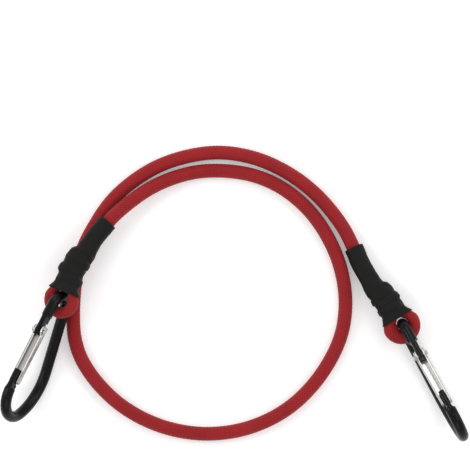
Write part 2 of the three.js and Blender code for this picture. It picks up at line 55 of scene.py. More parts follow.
# The cord's route, from the middle of the left eye, through the left sleeve, clockwise round
# the loop and over itself, through the right sleeve, to the middle of the right eye.
ROUTE = np.array([
    (-0.0980, 0.0171, 0.0169), (-0.0964, 0.0220, 0.0177), (-0.0939, 0.0282, 0.0170),
    (-0.0912, 0.0353, 0.0157), (-0.0865, 0.0425, 0.0144), (-0.0746, 0.0576, 0.0120),
    (-0.0660, 0.0669, 0.0109), (-0.0453, 0.0818, 0.0064), (-0.0207, 0.0899, 0.0042),
    (0.0057, 0.0891, 0.0039), (0.0247, 0.0823, 0.0039), (0.0409, 0.0700, 0.0039),
    (0.0530, 0.0538, 0.0039), (0.0609, 0.0351, 0.0039), (0.0638, 0.0150, 0.0039),
    (0.0607, -0.0051, 0.0039), (0.0486, -0.0275, 0.0039), (0.0306, -0.0454, 0.0039),
    (0.0077, -0.0564, 0.0039), (-0.0176, -0.0596, 0.0039), (-0.0425, -0.0549, 0.0039),
    (-0.0650, -0.0429, 0.0039), (-0.0825, -0.0245, 0.0039), (-0.0901, -0.0082, 0.0039),
    (-0.0915, 0.0150, 0.0039), (-0.0875, 0.0417, 0.0039), (-0.0795, 0.0591, 0.0039),
    (-0.0662, 0.0770, 0.0039), (-0.0427, 0.0933, 0.0039), (-0.0142, 0.1007, 0.0039),
    (0.0083, 0.0987, 0.0039), (0.0292, 0.0902, 0.0039), (0.0474, 0.0766, 0.0039),
    (0.0619, 0.0589, 0.0042), (0.0685, 0.0461, 0.0054), (0.0730, 0.0358, 0.0064),
    (0.0788, 0.0268, 0.0078), (0.0856, 0.0184, 0.0092), (0.0909, 0.0102, 0.0103),
    (0.0956, 0.0024, 0.0107),
])
UP = np.array((0.0, 0.0, 1.0))
MILLIMETRE = 0.001

# How far apart two stations stand where the rod steps square
SQUARE_STEP = 1e-6

# Where the photograph's frame lies: its middle, the width that it takes in, and how far the
# camera stands off, far enough that the view is nearly square to the floor everywhere.
VIEW_MIDDLE = (0.0007, 0.05384)
VIEW_WIDTH = 0.26857
VIEW_DISTANCE = 5.0

BODY_OF = {
    node: body
    for body, nodes in frame["record"]["behaviour"]["bodies"].items()
    for node in nodes
}


# Curves and frames

def unit(vectors):
    return vectors / np.linalg.norm(vectors, axis=-1, keepdims=True)


def fade(place, start, end):
    """Eases from 1 at the start to 0 at the end, as half a cosine wave."""
    share = np.clip((np.asarray(place, float) - start) / (end - start), 0, 1)
    return (1 + np.cos(np.pi * share)) / 2


def smooth_line(points, steps_per_span):
    """Points of a centripetal Catmull-Rom curve: each span is a cubic whose end slopes come
    from the square roots of the distances to the neighbouring points."""
    padded = np.vstack([2 * points[0] - points[1], points, 2 * points[-1] - points[-2]])
    before, start, end, after = padded[:-3], padded[1:-2], padded[2:-1], padded[3:]

    def reach(first, second):
        return np.sqrt(np.linalg.norm(second - first, axis=1))[:, None]

    back, span, ahead = reach(before, start), reach(start, end), reach(end, after)
    leaving = span * ((start - before) / back - (end - before) / (back + span) + (end - start) / span)
    arriving = span * ((end - start) / span - (after - start) / (span + ahead) + (after - end) / ahead)
    share = np.linspace(0, 1, steps_per_span, endpoint=False)[:, None, None]
    square = 3 * (end - start) - 2 * leaving - arriving
    cube = 2 * (start - end) + leaving + arriving
    curve = start + leaving * share + square * share**2 + cube * share**3
    return np.vstack([curve.transpose(1, 0, 2).reshape(-1, 3), points[-1:]])


def running_length(points):
    steps = np.linalg.norm(np.diff(points, axis=0), axis=1)
    return np.concatenate([[0], np.cumsum(steps)])


def at_places(places, known_places, values):
    """Each column of values, read off at other places along the same line."""
    flat = values.reshape(len(values), -1)
    columns = [np.interp(places, known_places, flat[:, column]) for column in range(flat.shape[1])]
    return np.stack(columns, axis=-1).reshape((len(places),) + values.shape[1:])


MIDDLE_LINE = smooth_line(ROUTE, 60)
MIDDLE_PLACES = running_length(MIDDLE_LINE)
MIDDLE_SLOPE = unit(np.gradient(MIDDLE_LINE, MIDDLE_PLACES, axis=0))
MIDDLE_LENGTH = MIDDLE_PLACES[-1]


def line_frame(places, roll=0.0):
    """Point, direction, sideways and top of the middle line at distances from the left eye.
    Sideways is level, square to the direction, and then rolled about it."""
    places = np.atleast_1d(np.asarray(places, float))
    point = at_places(places, MIDDLE_PLACES, MIDDLE_LINE)
    direction = unit(at_places(places, MIDDLE_PLACES, MIDDLE_SLOPE))
    side = unit(np.cross(direction, UP))
    roll = np.broadcast_to(roll, places.shape)[:, None]
    side = side * np.cos(roll) + np.cross(direction, side) * np.sin(roll)
    return point, direction, side, np.cross(side, direction)


def end_frame(sizes, is_left, distance):
    """The middle line's frame near one end, by the distance from that end's eye."""
    distance = np.atleast_1d(np.asarray(distance, float))
    turn = sizes.left_eye_roll if is_left else 0.0
    places = distance if is_left else MIDDLE_LENGTH - distance
    return line_frame(places, -turn * fade(distance, 0, sizes.eye_roll_length))


# Meshes

def ring_quads(first, second):
    """Quads between two index grids of rows, running round each row."""
    return np.stack([first, second, np.roll(second, -1, 1), np.roll(first, -1, 1)], -1).reshape(-1, 4)


def signed_volume(points, faces):
    """Six times the volume inside the faces, negative if they point inwards."""
    total = 0.0
    for face in faces:
        corner = points[face]
        if corner.ndim == 2:
            corner = corner[None]
        for step in range(1, corner.shape[1] - 1):
            total += np.einsum("ij,ij->", corner[:, 0], np.cross(corner[:, step], corner[:, step + 1]))
    return total


def make_piece(name, points, quads, caps=(), uv=None, sharp=None):
    """A mesh object from points, an array of quads and a few end faces, facing outwards.
    uv gives a pair for every corner of every quad."""
    caps = [np.asarray(cap) for cap in caps]
    if signed_volume(points, [quads, *caps]) < 0:
        quads = quads[:, ::-1]
        caps = [cap[::-1] for cap in caps]
        uv = None if uv is None else uv[:, ::-1]
    mesh = bpy.data.meshes.new(name)
    mesh.from_pydata(points.tolist(), [], quads.tolist() + [cap.tolist() for cap in caps])
    mesh.polygons.foreach_set("use_smooth", np.ones(len(mesh.polygons), bool))
    if uv is not None:
        corners = np.zeros((len(mesh.loops), 2))
        corners[:quads.size] = uv.reshape(-1, 2)
        mesh.uv_layers.new(name="along_and_across").data.foreach_set("uv", corners.ravel())
    mesh.update()
    if sharp is not None:
        mesh.set_sharp_from_angle(angle=sharp)
    piece = bpy.data.objects.new(name, mesh)
    bpy.context.scene.collection.objects.link(piece)
    return piece


def row_uv(along, across):
    """The corner pairs of a grid of closed rows, from one value a row and one a side."""
    along = np.broadcast_to(along[:, None], (len(along), len(across)))
    across = np.broadcast_to(across, along.shape)
    here, there = slice(None, -1), slice(1, None)
    corners = [
        (along[here, here], across[here, here]), (along[there, here], across[there, here]),
        (along[there, there], across[there, there]), (along[here, there], across[here, there]),
    ]
    return np.stack([np.stack(pair, -1) for pair in corners], 2).reshape(-1, 4, 2)


def make_solid_sweep(name, rows, along=None, sharp=None):
    """A closed body through rows of points, with a flat face on each end row."""
    count, sides = rows.shape[:2]
    index = np.arange(count * sides).reshape(count, sides)
    quads = ring_quads(index[:-1], index[1:])
    along = np.linspace(0, 1, count) if along is None else along
    uv = row_uv(along, np.linspace(0, 1, sides + 1))
    caps = (index[0], index[-1][::-1])
    return make_piece(name, rows.reshape(-1, 3), quads, caps, uv, sharp)


def make_tube(name, outer, inner, along, across):
    """A closed shell: the outer rows, coarser inner rows, and a ring of faces at each end."""
    sides = outer.shape[1]
    points = np.concatenate([outer.reshape(-1, 3), inner.reshape(-1, 3)])
    outside = np.arange(len(outer) * sides).reshape(-1, sides)
    inside = outside.size + np.arange(len(inner) * sides).reshape(-1, sides)
    quads = np.concatenate([
        ring_quads(outside[:-1], outside[1:]),
        ring_quads(inside[1:], inside[:-1]),
        ring_quads(inside[:1], outside[:1]),
        ring_quads(outside[-1:], inside[-1:]),
    ])
    shell_uv = row_uv(along, across)
    rest = np.zeros((len(quads) - len(shell_uv), 4, 2))
    return make_piece(name, points, quads, uv=np.concatenate([shell_uv, rest]))


def settle(piece, node, material):
    """Puts a finished piece in its CAD node's place, on that node's body."""
    piece.data.materials.append(material)
    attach(piece, BODY_OF[node])
    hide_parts(node)


# Materials

class Finish:
    """A procedural material, built node by node round one Principled shader."""

    def __init__(self, name, colour, roughness, metallic=0.0):
        self.material = bpy.data.materials.new(name)
        self.material.use_nodes = True
        self.tree = self.material.node_tree
        self.shader = self.tree.nodes["Principled BSDF"]
        self.shader.inputs["Base Color"].default_value = (*colour, 1)
        self.shader.inputs["Roughness"].default_value = roughness
        self.shader.inputs["Metallic"].default_value = metallic

    def node(self, kind, inputs=(), **settings):
        made = self.tree.nodes.new(kind)
        for key, value in settings.items():
            setattr(made, key, value)
        for key, value in dict(inputs).items():
            if isinstance(value, bpy.types.NodeSocket):
                self.tree.links.new(value, made.inputs[key])
            else:
                made.inputs[key].default_value = value
        return made

    def sum(self, operation, first, second=0.0):
        return self.node("ShaderNodeMath", {0: first, 1: second}, operation=operation).outputs[0]

    def place(self, scale=(1, 1, 1), source="Object"):
        coordinates = self.node("ShaderNodeTexCoord").outputs[source]
        inputs = {"Vector": coordinates, "Scale": scale}
        return self.node("ShaderNodeMapping", inputs).outputs[0]

    def noise(self, vector, scale, detail=2.0, roughness=0.5):
        inputs = {"Vector": vector, "Scale": scale, "Detail": detail, "Roughness": roughness}
        return self.node("ShaderNodeTexNoise", inputs).outputs["Fac"]

    def spread(self, value, low, high, start=0.0, end=1.0):
        """The value, carried from start and end to low and high."""
        inputs = {"Value": value, "From Min": start, "From Max": end, "To Min": low, "To Max": high}
        return self.node("ShaderNodeMapRange", inputs).outputs[0]

    def tint(self, share, first, second):
        mix = self.node("ShaderNodeMix", data_type="RGBA")
        self.tree.links.new(share, mix.inputs[0])
        mix.inputs[6].default_value = (*first, 1)
        mix.inputs[7].default_value = (*second, 1)
        return mix.outputs[2]

    def use(self, name, value):
        self.tree.links.new(value, self.shader.inputs[name])

    def bump(self, height, distance, strength=1.0):
        inputs = {"Height": height, "Distance": distance, "Strength": strength}
        made = self.node("ShaderNodeBump", inputs)
        earlier = self.shader.inputs["Normal"].links
        if earlier:
            self.tree.links.new(earlier[0].from_socket, made.inputs["Normal"])
        self.use("Normal", made.outputs[0])


def shade(colour, share):
    return tuple(channel * share for channel in colour)


def braid_finish(sizes):
    """Red polyester braid. On the map, one step along or across is one turn of the braid, and
    the strands run both ways between whole numbers of their sum and difference. Each lozenge
    has its yarns along its own strand, a painted highlight on its crown and painted shade at its edges."""
    finish = Finish("braided_polyester", sizes.cover_colour, 0.62)
    colour = tuple(sizes.cover_colour)
    map_place = finish.place(source="UV")
    parts = finish.node("ShaderNodeSeparateXYZ", {0: map_place}).outputs
    rising = finish.sum("ADD", parts[1], parts[0])
    falling = finish.sum("SUBTRACT", parts[1], parts[0])
    crowns, cells = [], []
    for strand in (rising, falling):
        shifted = finish.sum("ADD", strand, 0.5)
        cell = finish.sum("FLOOR", shifted)
        from_middle = finish.sum("SUBTRACT", strand, cell)
        crowns.append(finish.sum("COSINE", finish.sum("MULTIPLY", from_middle, math.pi)))
        cells.append(cell)
    crown = finish.sum("MULTIPLY", *crowns)
    over = finish.sum("FLOORED_MODULO", finish.sum("ADD", *cells), 2.0)
    yarn_waves = 2 * math.pi * 5
    yarns = [
        finish.sum("SINE", finish.sum("MULTIPLY", strand, yarn_waves)) for strand in (rising, falling)]
    pick = finish.node("ShaderNodeMix", {0: over, 2: yarns[0], 3: yarns[1]}).outputs[0]
    mottle = finish.noise(finish.place(), 60.0, 3.0, 0.6)
    # Painted highlight and shade: each lozenge's crown is painted paler and its edges darker, as light and
    # shade would fall on the raised strands.
    painted_crown_shading = finish.spread(crown, 0.0, 0.62)
    mottle_tone = finish.spread(mottle, 0.0, 0.5, 0.25, 0.75)
    tone = finish.sum("ADD", painted_crown_shading, mottle_tone)
    tone = finish.sum("ADD", tone, finish.spread(over, -0.05, 0.05))
    finish.use("Base Color", finish.tint(tone, shade(colour, 0.66), shade(colour, 1.12)))
    finish.use("Roughness", finish.spread(crown, 0.8, 0.52))
    finish.shader.inputs["Specular IOR Level"].default_value = 0.2
    finish.shader.inputs["Sheen Weight"].default_value = 0.05
    finish.shader.inputs["Sheen Roughness"].default_value = 0.4
    finish.bump(pick, 0.00004)
    return finish.material


def rubber_finish(sizes):
    """Natural rubber strands, dusted with talc."""
    finish = Finish("rubber_strand", sizes.rubber_colour, 0.75)
    dust = finish.noise(finish.place(), 400.0, 4.0, 0.6)
    colour = tuple(sizes.rubber_colour)
    finish.use("Base Color", finish.tint(dust, shade(colour, 0.75), shade(colour, 1.15)))
    finish.bump(dust, 0.00005)
    return finish.material


def sleeve_finish(sizes):
    """Matt black shrink tube, slightly brown, with a fine grain and faint cloudy blotches."""
    finish = Finish("shrink_tube_black", sizes.sleeve_colour, 0.6)
    finish.shader.inputs["Specular IOR Level"].default_value = 0.14
    colour = tuple(sizes.sleeve_colour)
    here = finish.place()
    cloud = finish.noise(here, 120.0, 4.0, 0.6)
    grain = finish.noise(here, 2600.0, 2.0, 0.5)
    finish.use("Base Color", finish.tint(cloud, shade(colour, 0.75), shade(colour, 1.3)))
    finish.use("Roughness", finish.spread(cloud, 0.5, 0.7, 0.3, 0.7))
    finish.bump(cloud, 0.0002, 0.6)
    finish.bump(grain, 0.00002, 0.5)
    return finish.material


def hook_finish(sizes):
    """Glossy black enamel on steel rod: a soft ripple, fine scuffs and a clear coat."""
    finish = Finish("black_enamel", sizes.hook_colour, 0.28)
    here = finish.place()
    ripple = finish.noise(here, 260.0, 2.0, 0.5)
    scuff = finish.noise(here, 1500.0, 5.0, 0.7)
    colour = tuple(sizes.hook_colour)
    scuffed = finish.spread(scuff, 0, 1, 0.45, 0.75)
    finish.use("Base Color", finish.tint(scuffed, colour, shade(colour, 2.2)))
    finish.use("Roughness", finish.spread(scuff, 0.2, 0.42, 0.35, 0.75))
    finish.shader.inputs["Specular IOR Level"].default_value = 0.1
    finish.shader.inputs["Coat Weight"].default_value = 0.1
    finish.shader.inputs["Coat Roughness"].default_value = 0.1
    finish.bump(ripple, 0.00015, 0.5)
    return finish.material


def gate_finish(sizes):
    """Satin aluminium, drawn along the gate: long fine lines on the map, and a few dull spots.
    The sheared lips are rough, and painted bright on their inner side, a painted highlight; the
    outer walls are painted a little darker, a painted shade. Across, the map runs down and up
    the outside to one half and back inside to one, with the lips just short of both, so the
    distance from the middle of the floor inside grows over the lips to the walls outside."""
    finish = Finish("satin_aluminium", sizes.gate_colour, 0.4, 1.0)
    lines = finish.noise(finish.place((6.0, 260.0, 1.0), "UV"), 1.0, 4.0, 0.65)
    spots = finish.noise(finish.place(), 300.0, 3.0, 0.6)
    across = finish.node("ShaderNodeSeparateXYZ", {0: finish.place(source="UV")}).outputs[1]
    floor_middle, lip_start, lip_end = 0.7404, (0.239, 0.242), (0.2465, 0.2495)
    from_floor = finish.sum("ABSOLUTE", finish.sum("SUBTRACT", across, floor_middle))
    outside = finish.spread(from_floor, 0, 1, *lip_end)
    lip = finish.sum("SUBTRACT", finish.spread(from_floor, 0, 1, *lip_start), outside)
    # Painted highlight: the lips' colour is raised, and less metal there lets it show. Painted shade: the
    # outer walls' colour is lowered a little.
    painted_lip_highlight = finish.sum("MULTIPLY", lip, 0.5)
    tone = finish.sum("ADD", finish.sum("MULTIPLY", outside, -0.1), painted_lip_highlight)
    tone = finish.sum("ADD", tone, finish.spread(lines, 0.26, 0.5))
    colour = tuple(sizes.gate_colour)
    finish.use("Base Color", finish.tint(tone, shade(colour, 0.4), shade(colour, 1.6)))
    finish.use("Metallic", finish.spread(lip, 1, 0.35))
    rough_lip = finish.sum("MULTIPLY", lip, 0.3)
    rough = finish.sum("ADD", finish.spread(spots, 0.22, 0.32, 0.3, 0.7), rough_lip)
    finish.use("Roughness", rough)
    finish.bump(lines, 0.00002, 0.6)
    return finish.material


def bright_steel_finish(name, colour, roughness):
    """Plated steel with fine tool marks and darker specks."""
    finish = Finish(name, colour, roughness, 1.0)
    here = finish.place()
    specks = finish.noise(here, 900.0, 4.0, 0.6)
    finish.use("Base Color", finish.tint(specks, shade(colour, 0.7), shade(colour, 1.1)))
    finish.use("Roughness", finish.spread(specks, roughness * 0.8, roughness * 1.4, 0.3, 0.7))
    finish.bump(specks, 0.00003, 0.5)
    return finish.material


# Sizes and colours

def length(name, description, millimetres):
    return bpy.props.FloatProperty(
        name=name, description=description, default=millimetres * MILLIMETRE,
        min=0, subtype="DISTANCE", unit="LENGTH", precision=5)


def angle(name, description, degrees):
    return bpy.props.FloatProperty(
        name=name, description=description, default=math.radians(degrees),
        subtype="ANGLE", unit="ROTATION")


def colour(name, description, red, green, blue):
    return bpy.props.FloatVectorProperty(
        name=name, description=description, default=(red, green, blue),
        size=3, min=0, max=1, subtype="COLOR")


class BungeeCordSizes(bpy.types.PropertyGroup):
    diameter: length("Diameter", "Diameter of the cord over its cover", 8)
    cover_wall: length("Cover wall", "Thickness of the braided cover", 0.7)
    strand_gap: length("Strand gap", "Room between the rubber strands and the cover", 0.3)
    braid_turn: length("Braid turn", "Length of the cord in which one strand crosses to the next", 2.1)
    braid_relief: length("Braid relief", "How far a strand stands out of the gaps", 0.1)
    strands: bpy.props.IntProperty(name="Strands", description="Braid strands each way", default=12, min=4)
    left_eye_roll: angle("Left eye roll", "How far the left eye is rolled about the cord", 26)
    eye_roll_length: length("Eye roll length", "Length in which the roll fades out", 24.5)
    eye_radius: length("Eye radius", "Radius of the cord's middle round the hook's rod", 7.7)
    eye_half_width: length("Eye half width", "Half the squeezed cord's width in the eye", 3.2)
    left_fullness: length("Left fullness", "How far the cord bulges into the left eye", 0.1)
    right_fullness: length("Right fullness", "How far the cord bulges into the right eye", 0.92)
    right_crotch: length("Right crotch", "How far the right eye's legs bulge towards each other", 0.75)
    crotch_place: length("Crotch place", "From the eye's middle to where they bulge most", 4.6)
    crotch_length: length("Crotch length", "Length in which that bulge fades out", 3)
    eye_half_height: length("Eye half height", "Half the squeezed cord's height in the eye", 3.3)
    flare_length: length("Flare length", "Length in which the two legs leave the eye", 10.5)
    leg_half_width: length("Leg half width", "Half a leg's width in the sleeve", 2.9)
    leg_half_height: length("Leg half height", "Half a leg's height in the sleeve", 3.95)
    leg_offset: length("Leg offset", "From the sleeve's middle to a leg's middle", 3.05)
    left_tail: length("Left tail", "From the left eye's middle to the cut end", 27.5)
    right_tail: length("Right tail", "From the right eye's middle to the cut end", 22.8)
    merge_gap: length("Merge gap", "From the cut end to where the single leg leaves its side", 1)
    merge_length: length("Merge length", "Length in which the single leg moves to the middle", 12.5)
    joint_place: length("Joint place", "Where the eye's piece meets the free cord, in the sleeve", 44)
    sleeve_start: length("Sleeve start", "From the eye's middle to the sleeve's wide end", 4.8)
    sleeve_end: length("Sleeve end", "From the eye's middle to the sleeve's narrow end", 52.5)
    sleeve_wall: length("Sleeve wall", "Thickness of the shrunk sleeve", 0.6)
    sleeve_room: length("Sleeve room", "Room between the sleeve and the legs", 0.7)
    sleeve_top_room: length("Sleeve top room", "Room over the doubled legs", 0.85)
    tail_bulge: length("Tail bulge", "Length in which the sleeve closes in past the cut end", 8)
    bulge_blend: length("Bulge blend", "How softly the bulge of the tail runs out", 0.8)
    left_droop: length("Left droop", "How much further the left sleeve's underside reaches at the eye", 0.9)
    right_reach: length("Right reach", "How much further the right sleeve reaches at the eye", 0.45)
    crimp_from_flare: length("Crimp from flare", "From the flare's end to the first crimp ring", 1.1)
    crimp_from_tail: length("Crimp from tail", "From the last crimp ring to the cut end", 3.1)
    crimp_rise: length("Crimp rise", "How far the sleeve rises over a crimp ring", 0.9)
    crimp_bore_rise: length("Crimp bore rise", "How far its bore rises there", 0.5)
    crimp_plateau: length("Crimp plateau", "Half the length that the sleeve stays up over a ring", 1)
    crimp_skirt: length("Crimp skirt", "Length in which the sleeve comes down beside a ring", 1.9)
    cover_colour: colour("Cover", "Colour of the braided cover", 0.34, 0.014, 0.018)
    rubber_colour: colour("Rubber", "Colour of the rubber strands", 0.61, 0.52, 0.33)
    sleeve_colour: colour("Sleeve", "Colour of the shrunk sleeve", 0.0075, 0.0070, 0.0067)


class SnapHookSizes(bpy.types.PropertyGroup):
    rod_diameter: length("Rod diameter", "Diameter of the bent rod", 6.3)
    hook_length: length("Hook length", "Length of the hook over the rod", 78.6)
    hook_width: length("Hook width", "Width of the hook over the rod", 41)
    eye_end_radius: length("Eye end radius", "Radius of the rod's middle at the narrow end", 7.5)
    basket_radius: length("Basket radius", "Radius of the rod's middle at the wide end", 13)
    spine_radius: length("Spine bend radius", "Radius of the bend from the spine to the basket", 30)
    hinge_along: length("Hinge along", "From the eye to the rivet, along the hook", 20.55)
    hinge_shoulder: length("Hinge shoulder", "From the rivet back to the shoulder", 9.7)
    hinge_tongue_end: length("Hinge tongue end", "From the rivet to the end of the hinge tongue", 2.8)
    hinge_fillet: length("Hinge fillet", "Fillet at the hinge shoulder", 1.6)
    nose_tongue_end: length("Nose tongue end", "From the rivet to the end of the nose tongue", 25.32)
    nose_shoulder: length("Nose shoulder", "From the rivet to the nose's shoulder", 37.82)
    nose_fillet: length("Nose fillet", "Fillet at the nose's shoulder", 3.2)
    tongue_thickness: length("Tongue thickness", "Thickness of the flattened tongues", 3)
    tongue_back: length("Tongue back", "From the arm's middle to the cut back of a tongue", 1.6)
    pocket_start: length("Pocket start", "From the rivet back to the spring pocket's far wall", 5.4)
    pocket_end: length("Pocket end", "From the rivet back to the spring pocket's near wall", 1.5)
    back_start: length("Back start", "From the rivet back to where the tongue's back is cut", 4.05)
    back_end: length("Back end", "From the rivet to where the nose's back is whole again", 33.72)
    gate_width: length("Gate width", "Width of the gate over its walls", 6.4)
    gate_wall: length("Gate wall", "Thickness of the gate's sheet", 1.2)
    gate_top: length("Gate top", "From the rivet back to the gate's hinge end", 3.45)
    gate_tip: length("Gate tip", "From the rivet to the gate's tip", 33.12)
    gate_lip: length("Gate lip", "From the arm's middle out to the gate's lips", 0.2)
    gate_back: length("Gate back", "From the arm's middle in to the gate's back", 3.4)
    ear_height: length("Ear height", "From the arm's middle out to the top of the ear", 2.4)
    ear_reach: length("Ear reach", "From the rivet to the ear's front edge", 2.6)
    tip_round: length("Tip round", "Radius of the tip's corners", 1.4)
    fold_radius: length("Fold radius", "Outer radius of the gate's two folds", 1.5)
    inner_fold_radius: length("Inner fold radius", "Inner radius of the gate's two folds", 0.35)
    floor_dish: length("Floor dish", "How far the gate's floor is dished inside", 0.25)
    rivet_height: length("Rivet height", "From the arm's middle out to the rivet", 0.4)
    rivet_shank: length("Rivet shank", "Diameter of the rivet's shank", 1.7)
    rivet_head: length("Rivet head", "Diameter of the rivet's heads", 2.9)
    rivet_dome: length("Rivet dome", "Height of a rivet head", 1)
    rivet_room: length("Rivet room", "Room between the gate and a rivet head", 0.3)
    left_lean: angle("Left lean", "How far the left hook leans over about its length", 29)
    left_dip: angle("Left dip", "How far the left hook's basket dips", 8.95)
    left_shift: length("Left shift", "How far the left hook lies to its side of the eye", 0.65)
    left_back: length("Left back", "How far the left hook lies towards its sleeve", 1.5)
    right_lean: angle("Right lean", "How far the right hook leans over about its length", 3)
    right_shift: length("Right shift", "How far the right hook lies to its side of the eye", 0.75)
    right_back: length("Right back", "How far the right hook lies towards its sleeve", 0.5)
    hook_colour: colour("Hook", "Colour of the enamelled rod", 0.003, 0.0031, 0.0034)
    gate_colour: colour("Gate", "Colour of the aluminium gate", 0.6, 0.59, 0.57)
    rivet_colour: colour("Rivet", "Colour of the plated steel rivets", 0.55, 0.54, 0.52)


# Cord

def tail_length(sizes, is_left):
    return sizes.left_tail if is_left else sizes.right_tail


def doubling(sizes, is_left, distance):
    """1 where the cord lies doubled, eased to 0 past the cut end of its tail."""
    start = tail_length(sizes, is_left) + sizes.merge_gap
    return fade(distance, start, start + sizes.merge_length)


def half_sizes(sizes, is_left, distance):
    """Half the cord's width and height: round in the open, squeezed where it is doubled and
    again in the eye, eased from one to the next."""
    flare = fade(distance, 0, sizes.flare_length)
    doubled = doubling(sizes, is_left, distance)
    radius = sizes.diameter / 2
    width = radius + (sizes.leg_half_width - radius) * doubled
    width = width + (sizes.eye_half_width - sizes.leg_half_width) * flare
    height = radius + (sizes.leg_half_height - radius) * doubled
    height = height + (sizes.eye_half_height - sizes.leg_half_height) * flare
    return np.stack([width, height], -1)


def leg_shift(sizes, is_left, distance):
    """How far a leg's middle lies from the sleeve's middle."""
    flare = fade(distance, 0, sizes.flare_length)
    spread = (sizes.eye_radius - sizes.leg_offset) * flare
    return sizes.leg_offset * doubling(sizes, is_left, distance) + spread


def eye_stations(sizes, is_left):
    """The doubled end of the cord as stations from its cut tail, round the eye, to the joint in
    the sleeve: middles, outward and top directions, and half sizes. The bend is half a circle.
    The cord bulges into the eye, a quarter as far on its tail's side as on its running leg's,
    and its two legs bulge towards each other where they leave it."""
    fullness = sizes.left_fullness if is_left else sizes.right_fullness
    crotch = 0.0 if is_left else sizes.right_crotch
    tail = np.linspace(tail_length(sizes, is_left), 0, 60)
    main = np.linspace(0, sizes.joint_place, 110)
    angle_round = np.linspace(math.pi, 0, 60)[1:-1, None]
    parts = []
    for distance, sign in ((tail, -1), (main, 1)):
        point, _, side, top = end_frame(sizes, is_left, distance)
        outward = side * sign
        fuller = fullness * fade(distance, 0, sizes.flare_length)[:, None] * (5 + 3 * sign) / 8
        near_crotch = fade(np.abs(distance - sizes.crotch_place), 0, sizes.crotch_length)[:, None]
        fuller = fuller + crotch * near_crotch * (5 + sign) / 6
        middle = point + outward * (leg_shift(sizes, is_left, distance)[:, None] - fuller)
        parts.append((middle, outward, top, half_sizes(sizes, is_left, distance) + fuller * (1, 0)))
    point, direction, side, top = end_frame(sizes, is_left, [0.0])
    away = -1 if is_left else 1
    outward = side * np.cos(angle_round) + direction * away * np.sin(angle_round)
    fuller = fullness * (5 + 3 * np.cos(angle_round)) / 8
    bend_half = half_sizes(sizes, is_left, np.zeros(1)) + fuller * (1, 0)
    bend_middle = point + outward * (sizes.eye_radius - fuller)
    bend = (bend_middle, outward, np.repeat(top, len(outward), 0), bend_half)
    return tuple(np.concatenate(group) for group in zip(parts[0], bend, parts[1]))


def free_stations(sizes):
    """The single run of the cord between the joints in the two sleeves."""
    places = np.linspace(sizes.joint_place, MIDDLE_LENGTH - sizes.joint_place, 1200)
    point, _, side, top = line_frame(places)
    half = np.full((len(places), 2), sizes.diameter / 2)
    return point, side, top, half


def resample(stations, step):
    """The stations at even steps along their own middles, and the places of the new ones."""
    known = running_length(stations[0])
    places = np.linspace(0, known[-1], max(2, round(known[-1] / step)) + 1)
    return places, tuple(at_places(places, known, part) for part in stations)


def oval_rows(stations, turns, grow):
    """Rows of points on ovals round the stations, grown or shrunk by a length, which may
    differ from point to point."""
    middle, outward, top, half = (part[:, None, :] for part in stations)
    across, upwards = np.cos(turns)[None, :, None], np.sin(turns)[None, :, None]
    grow = np.broadcast_to(grow, (middle.shape[0], len(turns)))[..., None]
    wide, tall = half[..., :1] + grow, half[..., 1:] + grow
    return middle + unit(outward) * wide * across + unit(top) * tall * upwards


def make_braided_tube(sizes, name, stations):
    """A run of braided cover. Its surface stands out over each lozenge of the braid by the
    product of two cosines, across the two ways in which the strands run, and has a plain bore.
    Four steps to a turn put a point on each lozenge's middle, sides and corners."""
    places, stations = resample(stations, sizes.braid_turn / 4)
    around = 4 * sizes.strands
    turns = np.linspace(0, 2 * math.pi, around, endpoint=False)
    along = places / places[-1] * round(places[-1] / sizes.braid_turn * 4) / 4
    across = np.arange(around + 1) / 4
    rising = across[None, :-1] + along[:, None]
    falling = across[None, :-1] - along[:, None]
    lozenge = np.cos(np.pi * (rising - np.round(rising))) * np.cos(np.pi * (falling - np.round(falling)))
    outer = oval_rows(stations, turns, (np.abs(lozenge) - 1) * sizes.braid_relief)
    _, coarse = resample(stations, 4 * sizes.braid_turn)
    inner = oval_rows(coarse, turns, -sizes.cover_wall)
    return make_tube(name, outer, inner, along, across)


def make_strand_bundle(sizes, name, stations):
    """The rubber strands as one fluted rod: nine round lobes, from a sine that never changes
    its sign, turning once in the length of a twist."""
    lobes, twist_length, depth = 9, 0.08, 0.25 * MILLIMETRE
    places, stations = resample(stations, 1.5 * MILLIMETRE)
    turns = np.linspace(0, 2 * math.pi, 6 * lobes, endpoint=False)
    twist = places[:, None] / twist_length * 2 * math.pi
    flute = np.abs(np.sin(lobes / 2 * turns[None, :] + lobes / 2 * twist))
    grow = -(sizes.cover_wall + sizes.strand_gap) - depth * (1 - flute)
    return make_solid_sweep(name, oval_rows(stations, turns, grow), places * 100)


class BUNGEE_OT_elastic_cord(bpy.types.Operator):
    """Builds the free cord, the two eyes and the rubber strands in them"""

    bl_idname = "bungee.elastic_cord"
    bl_label = "Elastic cord"

    def execute(self, context):
        sizes = context.scene.bungee_cord
        braid = braid_finish(sizes)
        left, right = eye_stations(sizes, True), eye_stations(sizes, False)
        free = free_stations(sizes)
        for name, stations in (("left_cord_eye", left), ("right_cord_eye", right), ("free_cord", free)):
            piece = make_braided_tube(sizes, name, stations)
            settle(piece, "cord_cover", braid)
        whole = tuple(
            np.concatenate([a, b[1:-1], c[::-1]]) for a, b, c in zip(left, free, right))
        strands = make_strand_bundle(sizes, "rubber_strands", whole)
        settle(strands, "rubber_core", rubber_finish(sizes))
        return {"FINISHED"}


# Sleeves and crimp rings

